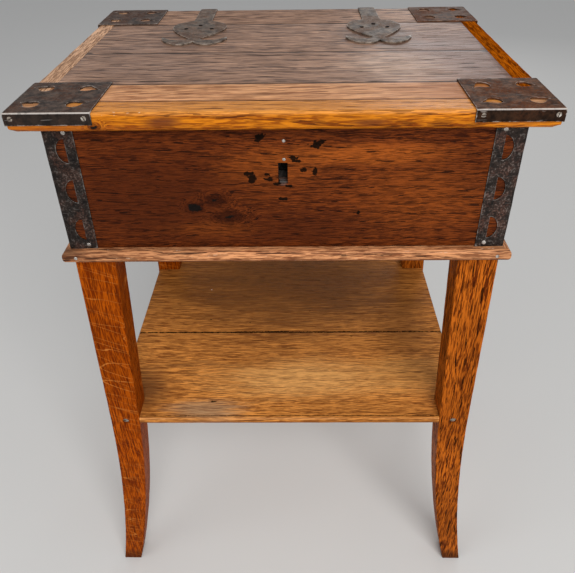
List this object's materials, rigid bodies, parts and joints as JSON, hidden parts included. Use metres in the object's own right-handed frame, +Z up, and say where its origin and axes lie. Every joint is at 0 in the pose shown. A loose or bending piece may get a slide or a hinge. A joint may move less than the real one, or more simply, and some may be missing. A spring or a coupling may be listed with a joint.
{
  "type": "sewing table",
  "caption": "Wooden sewing table: a lockable box with a hinged, iron-cornered lid, on outward-curving legs with a low shelf.",
  "frame": {"origin": "on the floor, under the middle of the table's bounding box", "axes": "+Z up, -Y towards the front (the side with the keyhole), +X to the right seen from the front"},
  "size_m": [0.517, 0.405, 0.7185],
  "materials": {
    "lid_panel_oak": "worn, waxed",
    "lid_front_oak": "worn, waxed",
    "lid_edging_oak": "varnished",
    "box_oak": "waxed",
    "moulding_oak": "weathered",
    "leg_oak": "waxed",
    "shelf_oak": "waxed",
    "plate_iron": "rusty, worn",
    "angle_iron": "mottled",
    "hinge_iron": "worn",
    "lock_steel": "dull",
    "fastener_steel": "worn bright"
  },
  "bodies": {
    "table": {"base_moulding_back": "moulding_oak", "base_moulding_front": "moulding_oak", "base_moulding_left": "moulding_oak", "base_moulding_right": "moulding_oak", "box_back_board": "box_oak", "box_bottom_board": "box_oak", "box_front_board": "box_oak", "box_left_board": "box_oak", "box_right_board": "box_oak", "corner_angle_back_left": "angle_iron", "corner_angle_back_right": "angle_iron", "corner_angle_front_left": "angle_iron", "corner_angle_front_right": "angle_iron", "corner_angle_nails": "fastener_steel", "hinge_box_leaf_left": "hinge_iron", "hinge_box_leaf_right": "hinge_iron", "hinge_leaf_screws": "fastener_steel", "hinge_pin_left": "hinge_iron", "hinge_pin_right": "hinge_iron", "keyhole_plate_nails": "fastener_steel", "leg_back_left": "leg_oak", "leg_back_right": "leg_oak", "leg_front_left": "leg_oak", "leg_front_right": "leg_oak", "leg_screws": "fastener_steel", "lock_case": "lock_steel", "lock_case_screws": "fastener_steel", "moulding_nails": "fastener_steel", "shelf_back_board": "shelf_oak", "shelf_front_board": "shelf_oak", "shelf_screws": "fastener_steel"},
    "lid": {"lid_front_nosing": "lid_edging_oak", "lid_left_edging": "lid_edging_oak", "lid_right_edging": "lid_edging_oak", "lid_front_board": "lid_front_oak", "lid_panel_front_board": "lid_panel_oak", "lid_panel_back_board": "lid_panel_oak", "lid_back_board": "lid_panel_oak", "corner_plate_front_left": "plate_iron", "corner_plate_front_right": "plate_iron", "corner_plate_back_left": "plate_iron", "corner_plate_back_right": "plate_iron", "corner_plate_screws": "fastener_steel", "hinge_strap_left": "hinge_iron", "hinge_strap_right": "hinge_iron", "hinge_strap_nails": "fastener_steel", "hinge_strap_screws": "fastener_steel", "lock_strike_plate": "lock_steel", "strike_plate_screws": "fastener_steel"},
    "bolt": {"lock_bolt": "lock_steel"}
  },
  "joints": [
    {"name": "lid_hinge", "type": "hinge", "parent": "table", "child": "lid", "pos_m": [0, 0.1968, 0.6935], "axis": [-1, 0, 0], "range_deg": [0, 105]},
    {"name": "lock_bolt_slide", "type": "slide", "parent": "table", "child": "bolt", "axis": [0, 0, 1], "range_m": [0, 0.008]}
  ]
}
